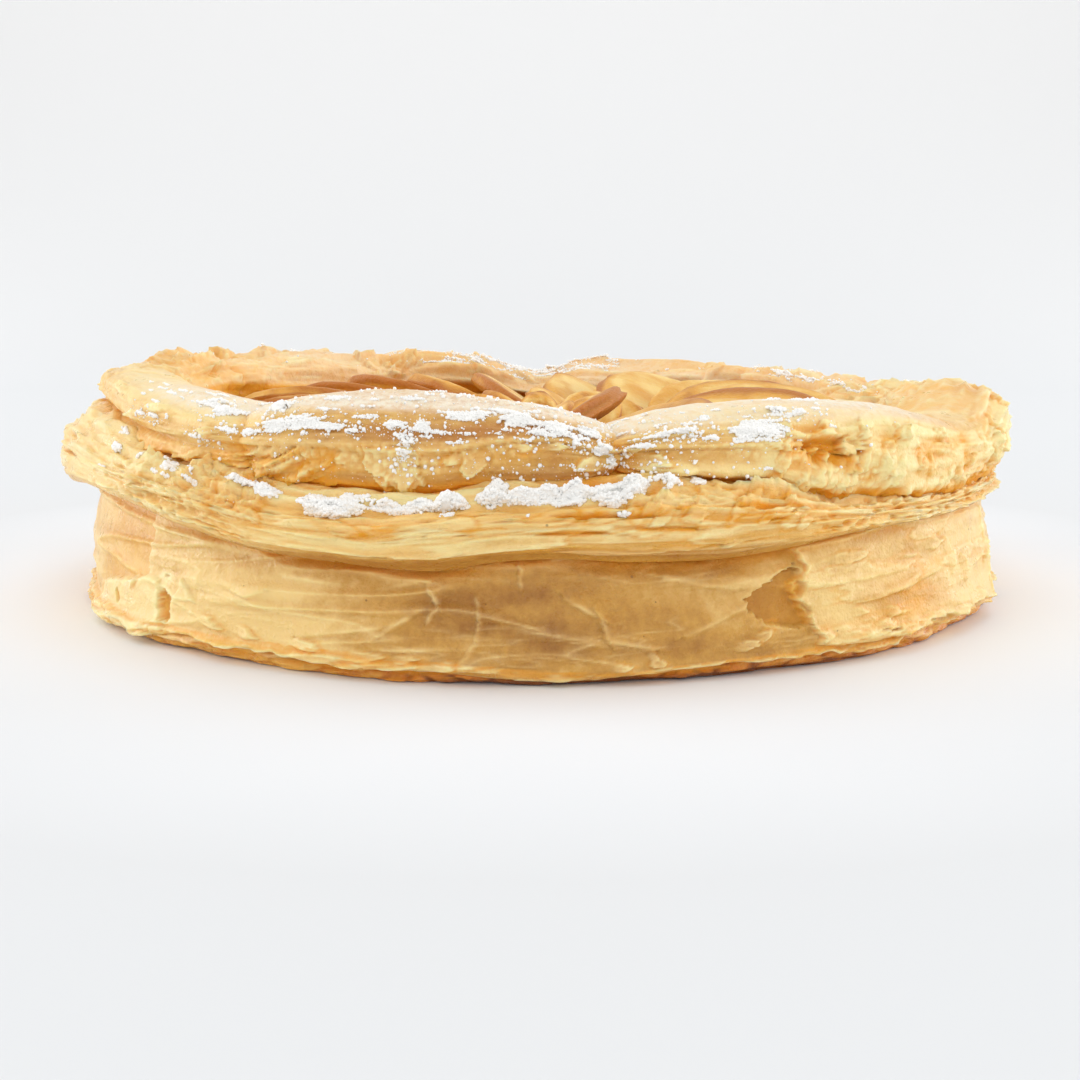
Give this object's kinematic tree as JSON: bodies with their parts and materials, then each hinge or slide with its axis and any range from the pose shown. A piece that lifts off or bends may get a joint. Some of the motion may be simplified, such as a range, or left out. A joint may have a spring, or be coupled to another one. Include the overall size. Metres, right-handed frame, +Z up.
{
  "type": "apple tart",
  "caption": "Round open puff-pastry tart with a smooth side wall, a flaky folded rim and a rosette of baked apple slices over cooked apple.",
  "frame": {"origin": "centre of the bounding box in plan, on the surface that the tart rests on", "axes": "+Z up through the middle of the tart, -Y towards its front"},
  "size_m": [0.1116, 0.1106, 0.0266],
  "materials": {
    "puff_pastry": "baked golden pastry, flaky, dusted with icing sugar",
    "cooked_apple": "moist golden-brown cooked apple",
    "baked_apple": "glazed apple flesh with browned edges"
  },
  "bodies": {
    "root": {"crust": "puff_pastry", "apple_filling": "cooked_apple", "apple_slice_outer_01": "baked_apple", "apple_slice_outer_02": "baked_apple", "apple_slice_outer_03": "baked_apple", "apple_slice_outer_04": "baked_apple", "apple_slice_outer_05": "baked_apple", "apple_slice_outer_06": "baked_apple", "apple_slice_outer_07": "baked_apple", "apple_slice_outer_08": "baked_apple", "apple_slice_outer_09": "baked_apple", "apple_slice_outer_10": "baked_apple", "apple_slice_outer_11": "baked_apple", "apple_slice_outer_12": "baked_apple", "apple_slice_outer_13": "baked_apple", "apple_slice_outer_14": "baked_apple", "apple_slice_outer_15": "baked_apple", "apple_slice_outer_16": "baked_apple", "apple_slice_outer_17": "baked_apple", "apple_slice_outer_18": "baked_apple", "apple_slice_inner_01": "baked_apple", "apple_slice_inner_02": "baked_apple", "apple_slice_inner_03": "baked_apple", "apple_slice_inner_04": "baked_apple", "apple_slice_inner_05": "baked_apple", "apple_slice_inner_06": "baked_apple", "apple_slice_inner_07": "baked_apple", "apple_slice_inner_08": "baked_apple", "apple_slice_inner_09": "baked_apple", "apple_nub": "baked_apple"}
  },
  "joints": []
}
